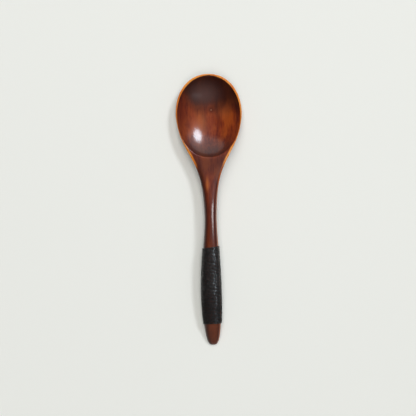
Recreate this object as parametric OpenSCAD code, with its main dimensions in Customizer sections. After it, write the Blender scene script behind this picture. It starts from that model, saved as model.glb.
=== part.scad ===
// A small lacquered wooden spoon with a thread-wound grip, in millimetres.
//
// The bowl's front points to +Y, the hollow opens to +Z and the table is Z = 0.
// The spoon lies as it does on a table: on its belly and on the handle's end.
// Every shape follows from s, the distance behind the bowl's front.

/* [Spoon] */
// Length from the bowl's front to the handle's end
spoon_len = 180; // [150:1:230]
// Sideways bow of the hand-cut handle, towards -X
handle_bow = 0.5; // [0:0.1:2]
// How far the handle's end leans back towards +X
tip_lean = 0.2; // [0:0.1:2]

/* [Bowl] */
// Width of the bowl at its widest
bowl_w = 43.8; // [36:0.1:56]
// Distance from the bowl's front to its widest point
bowl_front = 27; // [22:0.5:33]
// Distance behind the widest point at which the bowl has half narrowed to the neck
shoulder_len = 34.6; // [28:0.1:42]
// Height of the rim above the table
rim_z = 10.6; // [9:0.1:16]
// Width of the rim beside the hollow
rim_side = 0.9; // [0.8:0.1:2]
// Width of the rim at the front
rim_front = 1.7; // [1:0.1:3]
// Height of the rim's rounded top
rim_round = 0.7; // [0.3:0.1:1.2]
// Distance from the bowl's front to the hollow's back edge
hollow_end = 55.4; // [46:0.2:67]
// Wood left under the deepest point of the hollow
floor_t = 2.8; // [2:0.1:5]
// Depth sanded off the belly and the handle's end, which gives the flats it rests on
foot_cut = 0.3; // [0.1:0.05:0.8]

/* [Neck] */
// Distance from the bowl's front to the narrowest part of the neck
neck_at = 95; // [80:1:110]
// Width of the neck
neck_w = 8; // [6:0.1:10]
// Thickness of the neck
neck_t = 7.4; // [5.5:0.1:10]
// Height of the neck's middle above the table
neck_z = 11.6; // [10:0.1:20]

/* [Grip] */
// Distance from the handle's end to the widest part of the grip
grip_back = 34; // [28:1:45]
// Width of the bare grip
grip_w = 12.8; // [10:0.1:16]
// Thickness of the bare grip
grip_t = 8.6; // [6.5:0.1:11]

/* [Thread] */
// Bare wood between the winding and the handle's end
bare_end = 14; // [10:0.5:20]
// Length of the winding along the handle
wrap_len = 52; // [30:0.5:62]
// Width of the thread, laid flat by its own tension
thread_w = 0.9; // [0.7:0.05:1.4]
// Thickness of the thread off the wood
thread_t = 0.64; // [0.4:0.02:1]
// How far the first turn leans towards the bowl at its +X side
first_lean = 0.5; // [0:0.1:0.6]
// Length of each buried end of the thread
tail_len = 14; // [8:0.5:20]

/* [Hidden] */

// Clearances
turn_gap = 0.03;                                // between neighbouring turns
seat_gap = 0.02;                                // under the thread and between its layers
end_gap = 0.06;                                 // between a turn's end face and the tail it comes from

// Mesh density
edge_steps = 8;                                 // points from the rim's edge to the hollow
hollow_steps = 18;                              // points across the hollow
belly_steps = 26;                               // points around the underside
turn_rings = 16;                                // rings of points in each turn of the thread
thread_sides = 6;
tail_ring = 1.75;                               // distance between the rings of a tail

// Derived sizes
grip_at = max(spoon_len - grip_back, neck_at + 15);
tip_len = spoon_len - grip_at;
wrap_end = spoon_len - bare_end;
wrap_start = wrap_end - wrap_len;
first_s = wrap_start + thread_w / 2;            // middle of the first turn
last_s = wrap_end - thread_w / 2;               // and of the last one
ring_angle = 360 / turn_rings;
// Height that keeps the straight stretch between two rings off the wood
chord_gap = grip_w / 2 * (1 - cos(ring_angle / 2)) + seat_gap;
over_tail = ring_angle / 2 + 10;                // a turn stays up this far either side of a tail
tail_drift = 2.6;                               // degrees that the start tail drifts per millimetre
bowl_r = bowl_w / 2;
hollow_r = bowl_r - rim_side;
belly_d = rim_z + foot_cut;                     // from the rim down to the uncut belly

// How round each curve is
front_power = 2.15;                             // plan of the bowl's front
hollow_power = 2.1;                             // plan of the hollow
dish_power = 2.2;                               // the dish of the hollow ...
dish_rise = 0.85;                               // ... and how steeply it rises at its edge
belly_power = 2.3;                              // section of the underside
belly_rise = 0.75;                              // how steeply the bowl's wall rises
shoulder_power = 3.7;
waist_power = 1.3;
grip_swell = 1.45;
tip_power = 1.87;
tip_blunt = 3.35;
tip_thin = 2.2;
arch_power = 3;                                 // how the handle's arch bends down
lean_power = 4;
plateau = 0.17;                                 // exponent of the rim's flat top
oval = 0.87;                                    // exponent of the handle's oval section

function ease(t) = let (c = min(max(t, 0), 1)) c * c * (3 - 2 * c);
function mix(a, b, t) = a + (b - a) * t;
function signed_pow(v, p) = sign(v) * pow(abs(v), p);
function unit(v) = v / norm(v);

// 1 at the bowl's widest point and 0 at its front
function front_arc(s, p, q) = pow(1 - pow((bowl_front - s) / bowl_front, p), q);
// 1 at the grip's widest point and 0 at the handle's end
function tip_arc(s, q) = pow(1 - pow(min((s - grip_at) / tip_len, 1), tip_power), 1 / q);
// 1 at the bowl's widest point, falling to 0 at the neck
function shoulder(s) = let (d = s - bowl_front)
    (1 - pow(d / (neck_at - bowl_front), waist_power)) / (1 + pow(d / shoulder_len, shoulder_power));
// 0 at the neck, rising to 1 at the grip's widest point
function swell(s) = pow(sin(90 * (s - neck_at) / (grip_at - neck_at)), grip_swell);

// Half the width of the spoon
function half_w(s) =
    s <= 0 || s >= spoon_len ? 0 :
    s < bowl_front ? bowl_r * front_arc(s, front_power, 1 / front_power) :
    s < neck_at ? mix(neck_w, bowl_w, shoulder(s)) / 2 :
    s < grip_at ? mix(neck_w, grip_w, swell(s)) / 2 :
    grip_w / 2 * tip_arc(s, tip_blunt);

// How far along the hollow s is: 0 at the widest point and 1 at either end
function along_hollow(s) =
    abs(s - bowl_front) / (s < bowl_front ? bowl_front - rim_front : hollow_end - bowl_front);

// Half the width of the hollow, which never breaks through the rim
function hollow_half(s) = along_hollow(s) >= 1 ? 0 :
    min(hollow_r * pow(1 - pow(along_hollow(s), hollow_power), 1 / hollow_power), half_w(s) - rim_side);

// Share of the hollow's depth at x from its middle
function dish(s, x) =
    let (r2 = pow(abs(x) / hollow_r, hollow_power) + pow(along_hollow(s), hollow_power))
    pow(max(0, 1 - pow(r2, dish_power / hollow_power)), dish_rise);

// Half the thickness of the handle
function half_t(s) =
    s <= neck_at ? neck_t / 2 :
    s < grip_at ? mix(neck_t, grip_t, swell(s)) / 2 :
    grip_t / 2 * tip_arc(s, tip_thin);

// Depth of the underside below the edge line
function belly(s) =
    s <= 0 || s >= spoon_len ? 0 :
    s < bowl_front ? belly_d * front_arc(s, belly_power, belly_rise) :
    s < neck_at ? mix(neck_t / 2, belly_d, shoulder(s)) :
    half_t(s);

// 0 along the bowl and 1 along the handle: where the flat rim turns into an oval handle
function handle_blend(s) = ease((s - hollow_end + 6) / (neck_at - hollow_end));

// Height of the top above the edge line, on the middle of the spoon
function crown(s) =
    s <= 0 || s >= spoon_len ? 0 :
    mix(rim_round, half_t(s), handle_blend(s)) *
    (s < bowl_front ? front_arc(s, 2 / plateau, 1 / 2) : 1);

// How far down the handle s is: 0 up to the neck and 1 at the handle's end
function down_handle(s) = max(s - neck_at, 0) / (spoon_len - neck_at);

// The arch comes down until the handle's end meets the table
function arch(s) = pow(down_handle(s), arch_power);
arch_drop = foot_cut + min([for (i = [40:98]) let (s = mix(neck_at, spoon_len, i / 100))
    (neck_z - half_t(s)) / arch(s)]);

// Height of the edge line: the rim, then the middle of the handle
function edge_z(s) =
    mix(rim_z, neck_z, ease((s - bowl_front - 8) / (neck_at - bowl_front - 8))) - arch_drop * arch(s);

// Sideways place of the handle's middle
function mid_x(s) =
    tip_lean * pow(down_handle(s), lean_power) - handle_bow * pow(sin(180 * down_handle(s)), 2);

function top_power(s) = mix(plateau, oval, handle_blend(s));
function belly_sharp(s) = 2 * mix(belly_rise, 0.5, handle_blend(s));

// A point of the bare spoon's skin: angle 0 is its +X edge and 90 its top
function skin(s, angle) = let (up = sin(angle), c = cos(angle))
    [mid_x(s) + half_w(s) * signed_pow(c, up >= 0 ? top_power(s) : 2 / belly_power),
     spoon_len / 2 - s,
     max(0, edge_z(s) + (up >= 0 ? crown(s) * up : -belly(s) * pow(-up, belly_sharp(s))))];

// Height of the top at x from the middle, outside the hollow
function top_z(s, x) = let (w = half_w(s))
    edge_z(s) + (w == 0 ? 0 : crown(s) * sqrt(max(0, 1 - pow(abs(x) / w, 2 / top_power(s)))));

// Depth of the hollow below the top's own line
hollow_d = top_z(bowl_front, 0) - floor_t;

// A point of the top between the edge, 0, and the hollow or the middle, 1
function lip_point(s, side, t) =
    let (inner = hollow_half(s),
         x = inner + (half_w(s) - inner) * pow(max(0, cos(90 * t)), top_power(s)))
    [mid_x(s) + side * x, spoon_len / 2 - s, top_z(s, x)];

// A point of the hollow, t from -1 to 1 across it
function hollow_point(s, t) = let (inner = hollow_half(s), x = inner * t)
    [mid_x(s) + x, spoon_len / 2 - s, top_z(s, x) - hollow_d * (dish(s, x) - dish(s, inner))];

// Distances at which the skin has a ring of points, closer where it turns in fast
stations = [
    for (i = [0:4]) rim_front * (1 - cos(18 * i)),
    for (i = [0:13]) mix(rim_front, bowl_front, 1 - cos(90 * i / 14)),
    for (i = [0:15]) mix(bowl_front, hollow_end, sin(90 * i / 16)),
    for (i = [0:39]) mix(hollow_end, grip_at, i / 40),
    for (i = [0:16]) mix(grip_at, spoon_len, sin(90 * i / 16))
];

// Slots of a ring, in order: the -X lip, the hollow, the +X lip, the underside
ring_size = 2 * (edge_steps + 1) + hollow_steps - 1 + belly_steps - 1;
function ring(s) = [
    for (i = [0:edge_steps]) lip_point(s, -1, i / edge_steps),
    for (i = [1:hollow_steps - 1]) hollow_point(s, -cos(180 * i / hollow_steps)),
    for (i = [0:edge_steps]) lip_point(s, 1, 1 - i / edge_steps),
    for (i = [1:belly_steps - 1]) skin(s, -180 * i / belly_steps)
];

// Where a ring has no hollow its middle slots are one point, and so is all of an end ring
function slot(i, j) =
    let (s = stations[i], k = j % ring_size, merged = k > edge_steps && k <= edge_steps + hollow_steps)
    i * ring_size + (half_w(s) == 0 ? 0 : hollow_half(s) == 0 && merged ? edge_steps : k);

module spoon_body() color("saddlebrown")
    polyhedron(
        points = [for (s = stations) each ring(s)],
        faces = [
            for (i = [0:len(stations) - 2], j = [0:ring_size - 1])
                let (a = slot(i, j), b = slot(i, j + 1), c = slot(i + 1, j + 1), d = slot(i + 1, j))
                each [
                    if (a != b && b != c && c != a) [a, b, c],
                    if (a != c && c != d && d != a) [a, c, d]
                ]
        ],
        convexity = 6
    );

// Place of the thread at a height above the bare skin, with the two directions of the skin
// there: the one along the handle and the outward one
function thread_at(s, angle, lift) =
    let (along = unit(skin(s + 0.2, angle) - skin(s - 0.2, angle)),
         around = skin(s, angle + 2) - skin(s, angle - 2),
         out = unit(cross(around, along)))
    [skin(s, angle) + lift * out, along, out];

// Flattened six-sided section of the thread at a place on its route
function thread_ring(place, across, out) = [
    for (k = [0:thread_sides - 1]) let (a = 360 * k / thread_sides)
        place + across * thread_w / 2 * cos(a) + out * thread_t / 2 * sin(a) / sin(60)
];

// A solid skinned over a list of equal rings
module skinned(rings) {
    n = len(rings[0]);
    last = len(rings) - 1;
    polyhedron(
        points = [for (r = rings) each r],
        faces = [
            [for (k = [0:n - 1]) k],
            [for (k = [n - 1:-1:0]) last * n + k],
            for (i = [0:last - 1], k = [0:n - 1])
                let (a = i * n + k, b = i * n + (k + 1) % n)
                each [[a, a + n, b + n], [a, b + n, b]]
        ],
        convexity = 10
    );
}

// Skin angle of the middle of each buried thread end
function start_angle(s) = 215 + tail_drift * (s - first_s);
finish_angle = 270;

// Half the angle that a thread lying along the handle takes up at a skin angle
function flank(s, angle) = (thread_w / 2 + end_gap) * 2 / norm(skin(s, angle + 1) - skin(s, angle - 1));

// The route of the turns: an angle that grows from the start tail's flank to the finish tail's
whole_turns = floor((wrap_len - thread_w) / (thread_w + turn_gap) - (finish_angle - start_angle(first_s)) / 360);
first_a = start_angle(first_s) + flank(first_s, start_angle(first_s));
last_a = finish_angle - flank(last_s, finish_angle) + 360 * whole_turns;
function turn_share(a) = (a - first_a) / (last_a - first_a);
function turn_s(a) = mix(first_s, last_s, turn_share(a)) - first_lean * cos(a) * (1 - turn_share(a));

// 1 where a turn passes over a buried end at the angle given, 0 away from it
function over(a, tail_angle) =
    let (off = abs((a - tail_angle + 900) % 360 - 180))
    min(1, max(0, (over_tail + ring_angle - off) / ring_angle));

start_s = turn_s(first_a) - thread_w / 2;       // where the start tail comes out from under the turns
finish_s = turn_s(last_a) + thread_w / 2;       // and the finish tail
function bump(a, s) = max(
    a > first_a + 180 && s < start_s + tail_len + thread_w ? over(a, start_angle(s)) : 0,
    a < last_a - 180 && s > finish_s - tail_len - thread_w ? over(a, finish_angle) : 0
);

function turn_ring(a) =
    let (s = turn_s(a),
         lift = thread_t / 2 + chord_gap + (thread_t + seat_gap) * bump(a, s),
         at = thread_at(s, a, lift))
    thread_ring(at[0], at[1], at[2]);

module grip_winding() color("#1b1a1a")
    skinned([
        turn_ring(first_a),
        for (i = [ceil(first_a / ring_angle) : floor(last_a / ring_angle)]) turn_ring(i * ring_angle),
        turn_ring(last_a)
    ]);

// A buried end of the thread along the wood. It drifts around the handle by a number of
// degrees per millimetre, counted from its first place.
module tail(from_s, to_s, from_angle, drift) {
    steps = ceil((to_s - from_s) / tail_ring);
    skinned([
        for (i = [0:steps])
            let (s = mix(from_s, to_s, i / steps),
                 at = thread_at(s, from_angle + drift * (s - from_s), thread_t / 2 + seat_gap))
            thread_ring(at[0], cross(at[2], at[1]), at[2])
    ]);
}
module start_tail() color("#2a2828")
    tail(start_s, start_s + tail_len, start_angle(start_s), tail_drift);
module finish_tail() color("#2a2828")
    tail(finish_s - tail_len, finish_s, finish_angle, 0);

spoon_body();
grip_winding();
start_tail();
finish_tail();
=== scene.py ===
# %% [markdown]
# # A lacquered spoon with a thread-wound grip
#
# This lesson dresses a small wooden spoon. Its measured solid comes ready made, as a frame that
# the scene is built around: the spoon lies on its belly and the handle's end, the bowl's front
# points to +Y, and the table is the plane Z = 0. What is left to do here is all that the eye
# cares about: a smooth carved skin, a real twisted thread, lacquer, grain, wax and light.

# %% Load the measured frame
import math

import bpy
import numpy as np
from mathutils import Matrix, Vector


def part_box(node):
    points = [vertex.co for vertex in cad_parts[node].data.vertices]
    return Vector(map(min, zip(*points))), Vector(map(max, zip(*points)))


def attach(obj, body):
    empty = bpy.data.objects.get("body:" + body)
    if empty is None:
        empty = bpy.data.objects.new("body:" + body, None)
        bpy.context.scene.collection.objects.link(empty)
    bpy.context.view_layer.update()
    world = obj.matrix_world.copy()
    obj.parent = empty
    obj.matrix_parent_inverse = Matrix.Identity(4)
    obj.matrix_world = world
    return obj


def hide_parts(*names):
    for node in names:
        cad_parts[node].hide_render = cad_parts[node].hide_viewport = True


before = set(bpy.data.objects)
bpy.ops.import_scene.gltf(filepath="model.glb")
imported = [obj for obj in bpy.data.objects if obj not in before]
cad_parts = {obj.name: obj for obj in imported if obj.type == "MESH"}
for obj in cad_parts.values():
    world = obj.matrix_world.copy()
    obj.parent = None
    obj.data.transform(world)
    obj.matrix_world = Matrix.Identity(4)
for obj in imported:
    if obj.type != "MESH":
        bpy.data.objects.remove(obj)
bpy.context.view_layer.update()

MM = 0.001
print("nodes to dress:", sorted(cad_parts))

# %% [markdown]
# ## The sizes to work with
#
# Blender works in metres, but a spoon is easier to think about in millimetres, so every shape
# below is worked out in millimetres and scaled once, when its mesh is made. Overall sizes are
# read from the measured solids. The rest are the maker's own sizes, such as where the neck is
# narrowest. A place on the spoon is given by s, the distance behind the bowl's front, so that
# y = LENGTH / 2 - s.

# %% Overall sizes, from the measured solids
def span_mm(node):
    """Lowest and highest corner of a node, in millimetres."""
    low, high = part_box(node)
    return np.array(low) / MM, np.array(high) / MM


spoon_low, spoon_high = span_mm("spoon_body")
LENGTH = spoon_high[1] - spoon_low[1]
BOWL_W = spoon_high[0] - spoon_low[0]
print(f"the spoon is {LENGTH:.1f} mm long and its bowl {BOWL_W:.1f} mm wide")

# %% The carver's sizes
BOWL_FRONT = 27.0        # from the bowl's front to its widest point
SHOULDER_LEN = 34.6      # behind that, where the bowl has half narrowed to the neck
RIM_Z = 10.6             # height of the rim's edge
RIM_SIDE, RIM_FRONT = 0.9, 1.7   # width of the flat rim at the sides and in front
RIM_ROUND = 0.7          # how much the rim's top is domed
HOLLOW_END = 55.4        # from the bowl's front to the back of the hollow
FLOOR_T = 2.8            # wood under the deepest point
FOOT_CUT = 0.3           # sanded off the belly and the handle's end
NECK_AT, NECK_W, NECK_T, NECK_Z = 95.0, 8.0, 7.4, 11.6
GRIP_AT, GRIP_W, GRIP_T = LENGTH - 34.0, 12.8, 8.6
HANDLE_BOW, TIP_LEAN = 0.5, 0.2  # how far the handle wanders sideways
HOLLOW_R = BOWL_W / 2 - RIM_SIDE
BELLY_D = RIM_Z + FOOT_CUT
print(f"the neck is {NECK_W:.1f} mm wide and {NECK_T:.1f} mm thick, {NECK_AT:.0f} mm back")

# %% How full or sharp each curve is
PLATEAU, OVAL = 0.17, 0.87       # across the top: nearly flat on the bowl, oval on the handle
FRONT_ROUND = 2.15               # the outline of the bowl's front, where 2 is an ellipse
TIP_START, TIP_BLUNT, TIP_SIDE = 1.87, 3.35, 2.2
SHOULDER_START, SHOULDER_FALL = 1.3, 3.7
GRIP_SWELL = 1.45
BELLY_FRONT, BELLY_RISE = 2.3, 0.75
UNDER_ROUND = 2.3                # the underside from edge to edge
KEEL_BOWL, KEEL_HANDLE = 0.75, 0.5
ARCH_POWER = 3.0
LEAN_POWER = 4
BLEND_LEAD = 6                   # the top starts to round this far before the hollow ends
RISE_AFTER = 8                   # the edge starts to climb this far behind the widest point
HOLLOW_ROUND, HOLLOW_WALL, HOLLOW_FLOOR = 2.1, 2.2, 0.85

# %% [markdown]
# ## The shape as a handful of curves
#
# A carver thinks of a spoon as a few lines: its outline from above, the line of the rim and the
# handle from the side, and how round it is across. Each of those lines is one short function of
# s here. They all take arrays, so that one call works out every point of a curve. Written this
# way, the skin can be made as smooth as a close view needs. Nearly everywhere it lies within
# 0.1 mm of the measured solid. It departs in one band, 29 to 44 mm behind the bowl's front: the
# solid keeps its rim at full width there and so has a shallower hollow, by up to 0.7 mm.

# %% Small curve helpers
def ease(t):
    """0 to 1 with a soft start and a soft end."""
    t = np.clip(t, 0.0, 1.0)
    return t * t * (3 - 2 * t)


def mix(a, b, t):
    return a + (b - a) * t


def power(base, exponent):
    """A power that stays real when rounding leaves the base a hair below 0."""
    return np.maximum(base, 0.0) ** exponent


def signed_power(value, exponent):
    return np.sign(value) * np.abs(value) ** exponent


# %% Lines along the spoon
def front_arc(s, p, q):
    """0 at the bowl's front and 1 from its widest point on."""
    return power(1 - power((BOWL_FRONT - s) / BOWL_FRONT, p), q)


def tip_arc(s, q):
    """1 up to the grip's widest point and 0 at the handle's end."""
    return power(1 - power((s - GRIP_AT) / (LENGTH - GRIP_AT), TIP_START), 1 / q)


def shoulder(s):
    """1 at the bowl's widest point, falling to 0 at the neck."""
    d = np.clip(s - BOWL_FRONT, 0, NECK_AT - BOWL_FRONT)
    start = 1 - (d / (NECK_AT - BOWL_FRONT)) ** SHOULDER_START
    return start / (1 + (d / SHOULDER_LEN) ** SHOULDER_FALL)


def swell(s):
    """0 at the neck, rising to 1 at the grip's widest point."""
    back = np.clip((s - NECK_AT) / (GRIP_AT - NECK_AT), 0, 1)
    return np.sin(np.pi / 2 * back) ** GRIP_SWELL


def half_width(s):
    bowl = mix(NECK_W, BOWL_W, shoulder(s)) / 2 * front_arc(s, FRONT_ROUND, 1 / FRONT_ROUND)
    handle = mix(NECK_W, GRIP_W, swell(s)) / 2 * tip_arc(s, TIP_BLUNT)
    return np.where(s < NECK_AT, bowl, handle)


def half_thickness(s):
    return mix(NECK_T, GRIP_T, swell(s)) / 2 * tip_arc(s, TIP_SIDE)


def belly_depth(s):
    """Depth of the underside below the edge line."""
    bowl = mix(NECK_T / 2, BELLY_D, shoulder(s)) * front_arc(s, BELLY_FRONT, BELLY_RISE)
    return np.where(s < NECK_AT, bowl, half_thickness(s))


def handle_blend(s):
    """0 along the bowl, with its flat rim, and 1 along the oval handle."""
    return ease((s - HOLLOW_END + BLEND_LEAD) / (NECK_AT - HOLLOW_END))


def top_roundness(s):
    return mix(PLATEAU, OVAL, handle_blend(s))


def under_sharpness(s):
    return 2 * mix(KEEL_BOWL, KEEL_HANDLE, handle_blend(s))


def crown(s):
    """Height of the top above the edge line, on the middle of the spoon."""
    return mix(RIM_ROUND, half_thickness(s), handle_blend(s)) * front_arc(s, 2 / PLATEAU, 0.5)


def arch(s):
    return power((s - NECK_AT) / (LENGTH - NECK_AT), ARCH_POWER)


steps_down = NECK_AT + (LENGTH - NECK_AT) * np.arange(0.40, 0.985, 0.01)
ARCH_DROP = FOOT_CUT + np.min((NECK_Z - half_thickness(steps_down)) / arch(steps_down))


def edge_height(s):
    """Height of the rim, and then of the middle of the handle."""
    climb_from = BOWL_FRONT + RISE_AFTER
    rise = ease((s - climb_from) / (NECK_AT - climb_from))
    return mix(RIM_Z, NECK_Z, rise) - ARCH_DROP * arch(s)


def middle_x(s):
    """Sideways place of the handle's middle: a hand-cut handle is never dead straight."""
    down = np.clip((s - NECK_AT) / (LENGTH - NECK_AT), 0, 1)
    return TIP_LEAN * down ** LEAN_POWER - HANDLE_BOW * np.sin(np.pi * down) ** 2


print(f"the handle's arch comes down {ARCH_DROP:.2f} mm to the table")

# %% [markdown]
# ## The hollow and its softened edge
#
# The hollow is an oval dish cut into the flat top. A knife leaves a crisp edge there, and then
# sandpaper and lacquer take the sharpness off. The dish is a share of its full depth at every
# point of the plan. Passing that share through a curve that bends softly round zero, in place of
# a hard stop, rounds the edge over by a few tenths of a millimetre, which is just enough to
# catch a thin line of light.

# %% Heights of the top
def along_hollow(s):
    """0 at the hollow's widest point and 1 at either end of it."""
    reach = np.where(s < BOWL_FRONT, BOWL_FRONT - RIM_FRONT, HOLLOW_END - BOWL_FRONT)
    return np.abs(s - BOWL_FRONT) / reach


def hollow_half(s):
    along = np.minimum(along_hollow(s), 1.0)
    half = HOLLOW_R * (1 - along ** HOLLOW_ROUND) ** (1 / HOLLOW_ROUND)
    return np.minimum(half, half_width(s))


def hollow_radius(s, x):
    """0 in the middle of the hollow, 1 on its edge and more outside it."""
    across = np.abs(x) / HOLLOW_R
    return (across ** HOLLOW_ROUND + along_hollow(s) ** HOLLOW_ROUND) ** (1 / HOLLOW_ROUND)


EDGE_SOFT = 0.016        # how far round zero the bend reaches, as a share of the depth


def dish(s, x):
    """The share of the hollow's full depth at a point of the plan."""
    inside = 1 - hollow_radius(s, x) ** HOLLOW_WALL
    return ((inside + np.sqrt(inside ** 2 + EDGE_SOFT ** 2)) / 2) ** HOLLOW_FLOOR


def plain_top(s, x):
    w = np.maximum(half_width(s), 1e-6)
    across = np.clip(np.abs(x) / w, 0, 1)
    return edge_height(s) + crown(s) * np.sqrt(1 - across ** (2 / top_roundness(s)))


HOLLOW_D = float(plain_top(np.array(BOWL_FRONT), np.array(0.0))) - FLOOR_T


def top_height(s, x):
    return plain_top(s, x) - HOLLOW_D * dish(s, x)


print(f"the hollow is {HOLLOW_D:.2f} mm deep and leaves {FLOOR_T:.1f} mm of wood")

# %% [markdown]
# ## A skin of rings
#
# The carved skin is a stack of closed rings, one at each of a few hundred places along the
# spoon. Going round a ring you cross the left lip, the hollow, the right lip and the underside.
# A ring outside the hollow has no hollow to cross, so those slots share one point, and the two
# end rings shrink to a single point. Rings are packed where the shape turns in fast, at the
# bowl's front, the two ends of the hollow and the handle's end: that keeps highlights clean
# where a coarse mesh would show kinks.

# %% Places along the spoon and slots around a ring
def quick_start(n):
    return 1 - np.cos(np.pi / 2 * np.arange(n) / n)


def slow_end(n):
    return np.sin(np.pi / 2 * np.arange(n) / n)


stations = np.concatenate([
    RIM_FRONT * quick_start(10),
    mix(RIM_FRONT, BOWL_FRONT, quick_start(44)),
    mix(BOWL_FRONT, HOLLOW_END, slow_end(50)),
    HOLLOW_END + (GRIP_AT - HOLLOW_END) * np.linspace(0, 1, 150, endpoint=False) ** 1.08,
    mix(GRIP_AT, LENGTH, slow_end(46)),
    [LENGTH],
])
LIP, DISH, UNDER = 16, 56, 64    # slots across a lip, the hollow and the underside
TOP_SLOTS = 2 * (LIP + 1) + (DISH - 1)
RING = TOP_SLOTS + (UNDER - 1)


def ring_points(s):
    """Every slot of the ring at s, as (x, y, z) in millimetres."""
    w, inner = half_width(s), hollow_half(s)
    lip = inner + (w - inner) * (1 + np.cos(np.pi * np.arange(LIP + 1) / LIP)) / 2
    across = -inner * np.cos(np.pi * np.arange(1, DISH) / DISH)
    top_x = np.concatenate([-lip, across, lip[::-1]])
    top_z = top_height(s, top_x)
    angle = np.pi * np.arange(1, UNDER) / UNDER
    under_x = w * signed_power(np.cos(angle), 2 / UNDER_ROUND)
    under_z = edge_height(s) - belly_depth(s) * np.sin(angle) ** under_sharpness(s)
    x = np.concatenate([top_x, under_x]) + middle_x(s)
    z = np.maximum(np.concatenate([top_z, under_z]), 0.0)
    return np.stack([x, np.full(RING, LENGTH / 2 - s), z], axis=1)


points = np.concatenate([ring_points(np.float64(s)) for s in stations])
print(f"{len(stations)} rings of {RING} slots")

# %% Join the rings into faces
NO_HOLLOW = 1e-9         # a narrower hollow than this has no slots of its own


def slot_index(i, j):
    """The point that slot j of ring i uses, once the shared slots are merged."""
    j = j % RING
    if i in (0, len(stations) - 1):
        return i * RING
    if hollow_half(stations[i]) <= NO_HOLLOW and LIP < j <= LIP + DISH:
        return i * RING + LIP
    return i * RING + j


def ring_faces():
    faces = []
    for i in range(len(stations) - 1):
        near = [slot_index(i, j) for j in range(RING + 1)]
        far = [slot_index(i + 1, j) for j in range(RING + 1)]
        for j in range(RING):
            corners = [near[j], near[j + 1], far[j + 1], far[j]]
            face = [c for k, c in enumerate(corners) if c != corners[k - 1]]
            if len(face) > 2:
                faces.append(face)
    return faces


# %% Make a mesh piece out of points and faces
def new_piece(name, points_mm, faces, numbers=None):
    """A smooth mesh object in metres. numbers holds named values, one for each point."""
    used = sorted({i for face in faces for i in face})
    place = {old: new for new, old in enumerate(used)}
    mesh = bpy.data.meshes.new(name)
    mesh.from_pydata((points_mm[used] * MM).tolist(), [], [[place[i] for i in f] for f in faces])
    for title, values in (numbers or {}).items():
        layer = mesh.attributes.new(title, "FLOAT", "POINT")
        layer.data.foreach_set("value", np.asarray(values, dtype=np.float32)[used])
    mesh.polygons.foreach_set("use_smooth", [True] * len(mesh.polygons))
    mesh.validate()
    mesh.update()
    piece = bpy.data.objects.new(name, mesh)
    bpy.context.scene.collection.objects.link(piece)
    print(f"{name}: {len(mesh.vertices)} points, {len(mesh.polygons)} faces")
    return piece


# %% [markdown]
# ## Where the lacquer has worn thin
#
# Rubbing wears lacquer off the places that stand out: the whole rim, and the two shoulders that
# run from the rim down to the neck. The mesh knows where those are, so each point gets a number
# from 0, full lacquer, to 1, rubbed thin. The finish reads it later under the name "rubbed".

# %% How far each point is rubbed
WORN_FULL, WORN_FADE = 0.7, 0.9  # mm in from the edge: worn through, and then fading
WORN_BELOW = 1.2                 # mm down the underside
WORN_END, WORN_END_FADE = 55, 13     # mm back from the bowl's front
STEEP = 80                       # cap on the outline's slope, squared


def rubbed_share(points_mm):
    """1 on the edge of the rim and shoulders, falling to 0 a little way from it."""
    s = LENGTH / 2 - points_mm[:, 1]
    x = points_mm[:, 0] - middle_x(s)
    slope = np.gradient(half_width(stations), stations)
    lean = np.interp(s, stations, np.nan_to_num(slope, posinf=9, neginf=-9))
    from_edge = (half_width(s) - np.abs(x)) / np.sqrt(1 + np.minimum(lean ** 2, STEEP))
    below = edge_height(s) - points_mm[:, 2]
    slots = np.arange(len(points_mm)) % RING
    on_lip = (slots <= LIP) | ((slots >= LIP + DISH) & (slots < TOP_SLOTS))
    share = np.where(on_lip, np.exp(-(np.maximum(from_edge - WORN_FULL, 0) / WORN_FADE) ** 2), 0.0)
    under_share = np.exp(-(np.maximum(below, 0) / WORN_BELOW) ** 2)
    share = np.where(slots >= TOP_SLOTS, under_share, share)
    return share * (1 - ease((s - WORN_END) / WORN_END_FADE))


EDGE_START = 0.97                # where the hollow's edge begins, as a share of its radius


def inside_share(points_mm):
    """1 in the hollow and 0 everywhere else."""
    s = LENGTH / 2 - points_mm[:, 1]
    slots = np.arange(len(points_mm)) % RING
    in_dish = (slots > LIP) & (slots < LIP + DISH)
    near_edge = ease((hollow_radius(s, points_mm[:, 0]) - EDGE_START) / (1 - EDGE_START))
    return np.where(in_dish, 1 - near_edge, 0.0)


def across_share(points_mm):
    """-1 at the spoon's -X edge, 0 in its middle and 1 at its +X edge."""
    s = LENGTH / 2 - points_mm[:, 1]
    return (points_mm[:, 0] - middle_x(s)) / np.maximum(half_width(s), 0.05)


spoon = new_piece("carved_spoon", points, ring_faces(), {
    "rubbed": rubbed_share(points),
    "inside": inside_share(points),
    "across": across_share(points),
})
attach(spoon, "root")
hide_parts("spoon_body")

# %% [markdown]
# ## The thread's route
#
# The winder lays the thread's first end along the wood, turns the thread over it, and at the
# other end pulls the last of it back under the turns. So each turn that crosses a buried end
# humps over it. The route is a spiral round the oval handle: a place along the handle and an
# angle give a point on the bare wood, and the thread's middle lies half a thickness above it.

# %% The bare wood under the thread
THREAD_W, THREAD_T = 0.90, 0.64
SEAT = 0.02              # gap that keeps the thread off the wood and off itself
WRAP_END = LENGTH - 14.0
WRAP_LEN = 52.0
FIRST_S = WRAP_END - WRAP_LEN + THREAD_W / 2
LAST_S = WRAP_END - THREAD_W / 2
NUDGE_S, NUDGE_A = 0.2, 2        # mm and degrees to either side, for reading a direction


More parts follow.
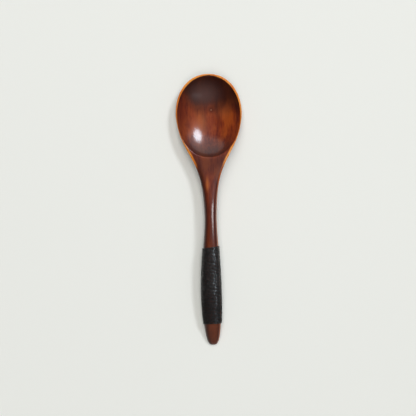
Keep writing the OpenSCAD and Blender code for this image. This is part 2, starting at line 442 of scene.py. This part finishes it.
def wood_at(s, degrees):
    """A point of the bare handle: 0 is its +X edge, 90 its top and 270 its underside."""
    angle = np.radians(degrees)
    up, side = np.sin(angle), np.cos(angle)
    around = np.where(up >= 0, top_roundness(s), 2 / UNDER_ROUND)
    x = middle_x(s) + half_width(s) * signed_power(side, around)
    over = crown(s) * up
    below = -belly_depth(s) * np.abs(up) ** under_sharpness(s)
    z = edge_height(s) + np.where(up >= 0, over, below)
    return np.stack([x, LENGTH / 2 - s, np.maximum(z, 0)], axis=-1)


def unit(vectors):
    return vectors / np.linalg.norm(vectors, axis=-1, keepdims=True)


def thread_frames(s, degrees, lift):
    """Places on the route, with the directions along the handle and off the wood."""
    along = unit(wood_at(s + NUDGE_S, degrees) - wood_at(s - NUDGE_S, degrees))
    around = wood_at(s, degrees + NUDGE_A) - wood_at(s, degrees - NUDGE_A)
    off = unit(np.cross(around, along))
    return wood_at(s, degrees) + lift[:, None] * off, along, off


print(f"the thread covers {WRAP_LEN:.0f} mm and stops {LENGTH - WRAP_END:.0f} mm from the end")

# %% The buried ends, and how many turns fit
TAIL_LEN = 14.0          # length of thread buried at either end
TAIL_DRIFT = 2.6         # degrees the first end drifts round for each mm along
TAIL_START = 215         # the first end lies low on the -X side
UNDERSIDE = 270          # the last end lies straight along the underside
TAIL_ROOM = 0.06         # gap between a turn's side and a buried end
TURN_GAP = 0.03          # least gap between turns


def start_angle(s):
    return TAIL_START + TAIL_DRIFT * (s - FIRST_S)


def flank(s, degrees):
    """Half the angle that a thread lying along the handle takes up."""
    ahead = wood_at(np.array([s]), np.array([degrees + 1]))
    behind = wood_at(np.array([s]), np.array([degrees - 1]))
    return (THREAD_W / 2 + TAIL_ROOM) * 2 / np.linalg.norm(ahead - behind)


turns_that_fit = (WRAP_LEN - THREAD_W) / (THREAD_W + TURN_GAP)
WHOLE_TURNS = math.floor(turns_that_fit - (UNDERSIDE - start_angle(FIRST_S)) / 360)
FIRST_A = start_angle(FIRST_S) + flank(FIRST_S, start_angle(FIRST_S))
LAST_A = UNDERSIDE - flank(LAST_S, UNDERSIDE) + 360 * WHOLE_TURNS

# %% Turn the route round the handle
FIRST_LEAN = 0.5         # mm that the first turns lean, as a winder's first turns do
HUMP_FLAT, HUMP_FADE = 9, 24     # degrees to either side of a buried end
STEPS_A_TURN = 150


def turn_share(a):
    return (a - FIRST_A) / (LAST_A - FIRST_A)


def turn_place(a):
    lean = FIRST_LEAN * np.cos(np.radians(a)) * (1 - turn_share(a))
    return mix(FIRST_S, LAST_S, turn_share(a)) - lean


START_S = turn_place(FIRST_A) - THREAD_W / 2
FINISH_S = turn_place(LAST_A) + THREAD_W / 2


def hump(a, tail_angle):
    """1 where a turn passes over a buried end, easing to 0 on either side of it."""
    off = np.abs((a - tail_angle + 900) % 360 - 180)
    return 1 - ease((off - HUMP_FLAT) / HUMP_FADE)


def turn_lift(a, s):
    """Height of the thread's middle above the wood."""
    over_start = (a > FIRST_A + 180) * (1 - ease((s - START_S - TAIL_LEN) / THREAD_W))
    over_finish = (a < LAST_A - 180) * (1 - ease((FINISH_S - TAIL_LEN - s) / THREAD_W))
    over = np.maximum(over_start * hump(a, start_angle(s)), over_finish * hump(a, UNDERSIDE))
    return THREAD_T / 2 + SEAT + (THREAD_T + SEAT) * over


angles = np.linspace(FIRST_A, LAST_A, int(STEPS_A_TURN * (LAST_A - FIRST_A) / 360))
turn_s = turn_place(angles)
route, along, off = thread_frames(turn_s, angles, turn_lift(angles, turn_s))
thread_length = np.linalg.norm(np.diff(route, axis=0), axis=1).sum()
print(f"{(LAST_A - FIRST_A) / 360:.1f} turns take {thread_length / 1000:.2f} m of thread")

# %% [markdown]
# ## Three strands, twisted
#
# Close up, waxed thread is three strands laid together like a rope, so its outline is not round
# but three-lobed, and the lobes wind along it. The section below swells and sinks three times
# on its way round, and the whole pattern turns as it goes along the route. It is pressed flat
# against the wood, as a thread under tension is. A number called "groove" remembers how deep
# between two strands each point lies, for the finish to darken.

# %% Skin a twisted thread over its route
SECTION = 12             # points around the thread
LAY = 2.6                # length of thread in which a strand goes once around
STRANDS = 3
LOBE = 0.13              # how deep the strands' lobes are, as a share of the thread


def twisted_thread(name, middle, sideways, outward):
    """A closed thread along a route, flattened, with its strands showing."""
    travelled = np.concatenate([[0], np.cumsum(np.linalg.norm(np.diff(middle, axis=0), axis=1))])
    a = 2 * np.pi * np.arange(SECTION) / SECTION
    lobes = np.cos(STRANDS * (a[None, :] - 2 * np.pi * travelled[:, None] / LAY))
    size = 1 - LOBE + LOBE * lobes
    across = (THREAD_W / 2) * np.cos(a)[None, :] * size
    up = (THREAD_T / 2) * np.sin(a)[None, :] * size
    skin = (middle[:, None, :] + sideways[:, None, :] * across[..., None]
            + outward[:, None, :] * up[..., None]).reshape(-1, 3)
    last = len(middle) - 1
    faces = [[i * SECTION + k, (i + 1) * SECTION + k,
              (i + 1) * SECTION + (k + 1) % SECTION, i * SECTION + (k + 1) % SECTION]
             for i in range(last) for k in range(SECTION)]
    faces.append(list(range(SECTION)))
    faces.append([last * SECTION + k for k in reversed(range(SECTION))])
    piece = new_piece(name, skin, faces, {"groove": ((1 - lobes) / 2).reshape(-1)})
    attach(piece, "root")
    return piece


winding = twisted_thread("thread_turns", route, along, off)
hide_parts("grip_winding")

# %% The two buried ends
TAIL_STEPS = 60


def buried_end(name, node, from_s, to_s, from_angle, drift):
    s = np.linspace(from_s, to_s, TAIL_STEPS)
    lift = np.full(len(s), THREAD_T / 2 + SEAT)
    middle, forward, outward = thread_frames(s, from_angle + drift * (s - from_s), lift)
    piece = twisted_thread(name, middle, np.cross(outward, forward), outward)
    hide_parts(node)
    return piece


start_end = buried_end("thread_start_end", "start_tail", START_S, START_S + TAIL_LEN,
                       start_angle(START_S), TAIL_DRIFT)
finish_end = buried_end("thread_finish_end", "finish_tail", FINISH_S - TAIL_LEN, FINISH_S,
                        UNDERSIDE, 0)

# %% [markdown]
# ## Writing a finish as arithmetic
#
# A finish is a network of shader nodes, and most of them only add, multiply or mix. Wrapping a
# socket in a small class lets those be written as plain arithmetic, so 1 - mask really does
# make a Math node. Everything else, such as a noise or a ramp, comes from one method that is
# given the node's type, its settings and what its sockets hold.

# %% A socket that can be added and multiplied
class Value:
    """A number that varies over a surface."""

    def __init__(self, finish, socket):
        self.finish, self.socket = finish, socket

    def maths(self, operation, *inputs):
        inputs = dict(enumerate(inputs))
        return self.finish.node("ShaderNodeMath", {"operation": operation}, inputs)

    def __add__(self, other):
        return self.maths("ADD", self, other)

    def __sub__(self, other):
        return self.maths("SUBTRACT", self, other)

    def __rsub__(self, other):
        return self.maths("SUBTRACT", other, self)

    def __mul__(self, other):
        return self.maths("MULTIPLY", self, other)

    def __truediv__(self, other):
        return self.maths("DIVIDE", self, other)

    def __pow__(self, other):
        return self.maths("POWER", self, other)

    __radd__, __rmul__ = __add__, __mul__

    def step(self, low, high):
        """0 below low and 1 above high, with soft ends."""
        inputs = {"Value": self, "From Min": low, "From Max": high}
        return self.finish.node("ShaderNodeMapRange", {"interpolation_type": "SMOOTHSTEP"}, inputs)


# %% A finish that makes nodes
class Finish:
    """A material, its main shader and the one method that adds a node."""

    def __init__(self, name):
        self.material = bpy.data.materials.new(name)
        self.material.use_nodes = True
        self.tree = self.material.node_tree
        self.shader = next(n for n in self.tree.nodes if n.type == "BSDF_PRINCIPLED")

    def node(self, kind, settings=None, inputs=None, output=0):
        made = self.tree.nodes.new(kind)
        for key, value in (settings or {}).items():
            setattr(made, key, value)
        for key, value in (inputs or {}).items():
            self.feed(made.inputs[key], value)
        return Value(self, made.outputs[output])

    def feed(self, socket, value):
        if isinstance(value, Value):
            self.tree.links.new(value.socket, socket)
        else:
            socket.default_value = value

    def blend(self, share, first, second):
        """A colour that goes from first to second."""
        inputs = {0: share, 6: first, 7: second}
        return self.node("ShaderNodeMix", {"data_type": "RGBA"}, inputs, 2)

    def noise(self, place, scale, detail=3.0, roughness=0.5):
        inputs = {"Vector": place, "Scale": scale, "Detail": detail, "Roughness": roughness}
        return self.node("ShaderNodeTexNoise", None, inputs)

    def stretched(self, place, by):
        """Coordinates scaled along each axis, so that a pattern runs longer one way."""
        return self.node("ShaderNodeVectorMath", {"operation": "MULTIPLY"}, {0: place, 1: by})

    def millimetres(self, place, axis):
        return self.node("ShaderNodeSeparateXYZ", None, {0: place}, axis) / MM

    def number(self, title):
        """A number that the mesh holds for each of its points."""
        return self.node("ShaderNodeAttribute", {"attribute_name": title}, None, "Fac")

    def set(self, **inputs):
        """Fill the main shader's sockets, named with _ for a space."""
        for key, value in inputs.items():
            self.feed(self.shader.inputs[key.replace("_", " ")], value)

    def bumps(self, height, distance, strength=1.0):
        inputs = {"Height": height, "Distance": distance, "Strength": strength}
        self.set(Normal=self.node("ShaderNodeBump", None, inputs))


def paint(code):
    """A colour as a shader needs it, from the six-figure code that paint charts use."""
    parts = [int(code[i:i + 2], 16) / 255 for i in (0, 2, 4)]
    return (*[p / 12.92 if p <= 0.04045 else ((p + 0.055) / 1.055) ** 2.4 for p in parts], 1.0)


# %% [markdown]
# ## The lacquered wood
#
# The wood is red-brown with fine grain that runs the length of the spoon, streaked darker and
# lighter. Over it lie several coats of dark, tinted lacquer, laid on thick towards the bowl's
# front, where the film is left unpolished. The dark chocolate brown there is partly that thick
# lacquer and partly painted shade on the hollow's front wall, and the grey cloud over it is a
# painted reflection of the room. The darker back of the hollow is painted shade, and the darker
# -X flank of the handle is partly lacquer that ran down and partly painted shade. Where the
# lacquer is rubbed thin, the wood shows through as bright orange along the rim and the shoulders.
# The thin orange line on the handle's +X edge is a painted reflection of the table, and the
# greyish haze on the handle's end a painted reflection of the room. A clear top coat gives the
# gloss. So the colour is built in layers: wood, grain, pale and dark places, thick lacquer with
# its painted shade and reflection, knot, wear and gloss. Each coat goes over what is below it,
# hiding a share of it.

# %% The wood and its grain
wood = Finish("lacquered_wood_finish")
place = wood.node("ShaderNodeTexCoord", None, None, "Object")
x_mm = wood.millimetres(place, "X")
s_mm = LENGTH / 2 - wood.millimetres(place, "Y")
rubbed, inside, across = wood.number("rubbed"), wood.number("inside"), wood.number("across")

long_grain = wood.stretched(place, (1.0, 0.07, 1.0))
broad = wood.noise(long_grain, 260.0, 3.0, 0.5)
fine = wood.noise(long_grain, 1300.0, 4.0, 0.6)
patches = wood.noise(wood.stretched(place, (1.0, 0.45, 1.0)), 110.0, 3.0, 0.6)
streaks = (broad * 0.5 + fine * 0.5).step(0.35, 0.65)
print("grain: broad streaks, fine fibres and slow patches")

# %% Blots and coats
def blot(x, s, half_x, half_s, core, edge):
    """1 at a place on the spoon, and 0 from the edge of an oval around it."""
    dx, ds = (x_mm - x) / half_x, (s_mm - s) / half_s
    return 1 - ((dx * dx + ds * ds) ** 0.5).step(core, edge)


def coat(below, share, code):
    """A coat of colour that hides a share of what is below it."""
    return wood.blend(share, below, paint(code))


# %% Stained wood
body = wood.blend(streaks, paint("5a1703"), paint("8a350a"))
body = coat(body, patches.step(0.46, 0.66) * 0.55, "a54c12")
body = coat(body, (1 - patches.step(0.32, 0.48)) * 0.38, "3f1005")

# %% Pale places and dark ends
body = coat(body, blot(-4.6, 32.0, 3.6, 11.0, 0.1, 1.3) * 0.45, "a85a26")
body = coat(body, blot(9.0, 23.0, 7.0, 8.0, 0.2, 1.2) * 0.35, "8c4a2a")
body = coat(body, blot(-1.8, 73.0, 1.3, 6.0, 0.2, 1.2) * 0.55, "c0641a")
left_of_bowl = 1 - x_mm.step(-19.0, -9.0)
body = coat(body, left_of_bowl * 0.45, "521303")
warm_neck = blot(0.0, 77.0, 7.0, 14.0, 0.3, 1.2)
behind_hollow = s_mm.step(50.0, 58.0)
body = coat(body, behind_hollow * (0.64 - warm_neck * 0.50), "3a1206")
# painted reflection: the greyish coat on the handle's end stands in for a haze of the room
# mirrored in its lacquer
grey_tip_haze = s_mm.step(158.0, 168.0)
body = coat(body, grey_tip_haze * 0.3, "7a5242")

# %% Lacquer thick at the front, with painted shade and a painted reflection, and painted shade at the hollow's back
edge_of_dark_front = 12.0 + x_mm.step(-20.0, -8.0) * 11.0
ragged = broad * 5.0 + patches * 8.0 - 6.5
thick_lacquer_and_shade = 1 - (s_mm + ragged - edge_of_dark_front).step(-8.0, 8.0)
# painted reflection: a grey haze over the dark front stands in for the room mirrored in the
# lacquer
painted_haze = blot(-2.5, 13.0, 15.0, 12.0, 0.0, 1.0) * thick_lacquer_and_shade
# partly painted shade: this dark brown is thick lacquer and also stands in for shade on the
# hollow's front wall, which faces away from the key lamp
body = coat(body, thick_lacquer_and_shade * 0.88, "27100b")
body = coat(body, painted_haze * 0.6, "5e4542")
# painted shade: the back of the hollow is darkened to stand in for shade there
shade_at_hollow_back = inside * s_mm.step(38.0, 52.0)
body = coat(body, shade_at_hollow_back * 0.75, "2a1512")

# %% Flanks of the neck and handle
# the darker -X flank is partly lacquer that ran down and partly painted shade on the side turned
# from the key lamp
lacquer_and_shade_flank = (across * -1).step(0.25, 0.85) * s_mm.step(58.0, 74.0)
red_flank = across.step(0.45, 0.8) * s_mm.step(62.0, 78.0)
# painted reflection: a thin orange line on the handle's +X edge stands in for the rounded edge
# reflecting the pale table
table_reflection_edge = across.step(0.80, 0.95) * s_mm.step(58.0, 66.0)
body = coat(body, lacquer_and_shade_flank * 0.72, "22100c")
body = coat(body, red_flank * 0.65, "3c0d03")
body = coat(body, table_reflection_edge * 0.8, "b8602a")

# %% The knot and the worn rim
body = coat(body, blot(1.7, 23.4, 1.0, 1.0, 0.5, 3.0) * 0.5, "2c0f09")
body = coat(body, blot(1.7, 23.4, 1.0, 1.0, 0.25, 0.65) * 0.6, "a06a50")
beside_bowl = s_mm.step(16.0, 30.0) * (1 - s_mm.step(44.0, 58.0))
less_worn = (across * -1).step(0.0, 0.9) * beside_bowl
worn = (rubbed * (0.75 + patches * 0.5)).step(0.25, 0.9) * (1 - less_worn * 0.35)
body = wood.blend(worn, body, wood.blend(streaks, paint("ca6a1e"), paint("e8963e")))

# %% The gloss
wood.set(Base_Color=body, Roughness=0.40 + thick_lacquer_and_shade * 0.12 + fine * 0.08, IOR=1.5)
wood.set(Specular_IOR_Level=0.16)
wood.set(Coat_Weight=0.85 - thick_lacquer_and_shade * 0.8, Coat_Roughness=0.165, Coat_IOR=1.5)
wood.bumps(broad * 0.6 + fine * 0.4, 0.00008, 0.3)
spoon.data.materials.append(wood.material)
print("wood finish:", len(wood.tree.nodes), "nodes")

# %% [markdown]
# ## The waxed thread
#
# The thread is dyed black and drawn through wax. The wax lies on it in flecks and gives a dull
# shine, so a turn glints here and there along its crest where it faces the light. The grooves
# between the strands hold shadow, so they go darker and rougher. Towards the handle's end the
# hand has polished the wax away, and the glints die out.

# %% Black thread with a waxy glint
thread = Finish("waxed_thread_finish")
groove = thread.number("groove")
thread_place = thread.node("ShaderNodeTexCoord", None, None, "Object")
thread_s = LENGTH / 2 - thread.millimetres(thread_place, "Y")
fibres = thread.noise(thread_place, 5200.0, 2.0, 0.6)
wax = thread.noise(thread_place, 1050.0, 2.0)
waxed = wax.step(0.48, 0.58) * (1 - groove * 0.8)
waxed = waxed * (1 - thread_s.step(140.0, 158.0) * 0.85)
# black dye, with the grooves between strands darkened as painted shade
dye_and_groove_shade = thread.blend(groove.step(0.2, 0.95), paint("201e1e"), paint("0a0909"))
dye_and_groove_shade = thread.blend(fibres.step(0.5, 0.8) * 0.3, dye_and_groove_shade, paint("3a3534"))
thread.set(Base_Color=dye_and_groove_shade, Roughness=0.32 + groove * 0.35, IOR=1.45)
thread.set(Specular_IOR_Level=0.3)
thread.set(Coat_Weight=waxed, Coat_Roughness=0.21, Coat_IOR=1.9)
thread.bumps(fibres, 0.00005, 0.5)
for piece in (winding, start_end, finish_end):
    piece.data.materials.append(thread.material)
print("thread finish:", len(thread.tree.nodes), "nodes")

# %% [markdown]
# ## Table, light and camera
#
# The spoon lies on a plain pale table in soft daylight. A key lamp off to the upper right
# throws a narrow shadow to the left, and a tall, narrow fill lamp overhead lights the rest
# without a second shadow on the right. A glossy surface would mirror both as hard-edged shapes,
# so they are kept out of reflections, and three other lamps are seen only there: a halo where
# the key is, which is the highlight in the hollow, a low window glow, which is the haze at the
# hollow's back, and a small bright card close by, which is the streak on the neck. Splitting
# light from reflection lets each be set by itself. The camera looks straight down from far
# enough away that nothing bulges.

# %% The table
def flat_square(name, size):
    h = size / 2
    mesh = bpy.data.meshes.new(name)
    mesh.from_pydata([(-h, -h, 0), (h, -h, 0), (h, h, 0), (-h, h, 0)], [], [(0, 1, 2, 3)])
    square = bpy.data.objects.new(name, mesh)
    bpy.context.scene.collection.objects.link(square)
    return square


TABLE_SIZE = 2.4
table = flat_square("table_top", TABLE_SIZE)
paper = Finish("pale_table_finish")
paper.set(Base_Color=paint("eeefec"), Roughness=0.8, IOR=1.4)
table.data.materials.append(paper.material)

# %% A lamp set by how bright and how wide it looks
MIDDLE = (0.0, 0.0, 0.01)        # where a lamp points unless it is told otherwise


def oval_lamp(name, at, width, height, brightness, colour, aim=MIDDLE):
    """An oval lamp of that size, turned from its place towards the spoon."""
    light = bpy.data.lights.new(name, "AREA")
    light.shape = "ELLIPSE"
    light.size, light.size_y = width, height
    light.energy = brightness * math.pi * math.pi * width * height / 4
    light.color = colour
    lamp = bpy.data.objects.new(name, light)
    lamp.location = at
    lamp.rotation_euler = (lamp.location - Vector(aim)).to_track_quat("Z", "Y").to_euler()
    bpy.context.scene.collection.objects.link(lamp)
    return lamp


def towards(direction, distance):
    return (unit(np.array(direction, dtype=float)) * distance).tolist()


def seen_as(degrees, distance):
    """The width of something that looks that many degrees wide."""
    return 2 * distance * math.tan(math.radians(degrees) / 2)


# %% The lamps
WARM, COOL, BLUE = (1.0, 0.99, 0.95), (0.94, 0.975, 1.0), (0.66, 0.87, 1.0)
ONLY_LIGHTS, ONLY_REFLECTED = "visible_glossy", "visible_diffuse"    # what is switched off

# name, direction, metres away, degrees wide and tall, brightness, colour, what it does
LAMPS = [
    ("key_lamp", (0.40, 0.485, 0.777), 4.0, 12, 12, 30.0, COOL, ONLY_LIGHTS),
    ("key_halo", (0.43, 0.50, 0.75), 4.1, 20, 19, 25.0, BLUE, ONLY_REFLECTED),
    ("fill_lamp", (-0.03, 0.25, 0.97), 3.0, 24, 95, 4.0, WARM, ONLY_LIGHTS),
    ("window_glow", (0.16, 0.76, 0.62), 4.2, 84, 40, 1.05, COOL, ONLY_REFLECTED),
]
for name, direction, metres, wide, tall, brightness, colour, switched_off in LAMPS:
    size = (seen_as(wide, metres), seen_as(tall, metres))
    lamp = oval_lamp(name, towards(direction, metres), *size, brightness, colour)
    setattr(lamp, switched_off, False)
    print(f"{name}: {wide} by {tall} degrees, brightness {brightness}")

# %% The bright card beside the neck
CARD_AT, CARD_AIM = (0.063, 0.001, 0.122), (0.0, 0.001, 0.014)
CARD_WIDE, CARD_TALL = 0.026, 0.070
card = oval_lamp("bright_card", CARD_AT, CARD_WIDE, CARD_TALL, 11.0, COOL, CARD_AIM)
setattr(card, ONLY_REFLECTED, False)

# %% The pale room
ROOM_GLOW = 0.12
room = bpy.data.worlds.new("pale_room")
room.use_nodes = True
background = room.node_tree.nodes["Background"]
background.inputs["Color"].default_value = (*WARM, 1.0)
background.inputs["Strength"].default_value = ROOM_GLOW
bpy.context.scene.world = room
bpy.context.scene.view_settings.view_transform = "Standard"

# %% The camera
VIEW_WIDTH = 275.5 * MM          # width of the table in view
VIEW_TURN = math.radians(1.08)   # the spoon lies a little askew
VIEW_MIDDLE = (-1.62 * MM, 1.3 * MM)
CAMERA_Z = 1.1
SPOON_Z = 10 * MM                # height at which the view is that wide
SENSOR = 36.0

camera = bpy.data.cameras.new("camera")
camera.sensor_width = SENSOR
camera.lens = SENSOR * (CAMERA_Z - SPOON_Z) / VIEW_WIDTH
viewer = bpy.data.objects.new("camera", camera)
viewer.location = (*VIEW_MIDDLE, CAMERA_Z)
viewer.rotation_euler = (0, 0, -VIEW_TURN)
bpy.context.scene.collection.objects.link(viewer)
bpy.context.scene.camera = viewer
print(f"camera: {camera.lens:.0f} mm lens, {CAMERA_Z} m up")
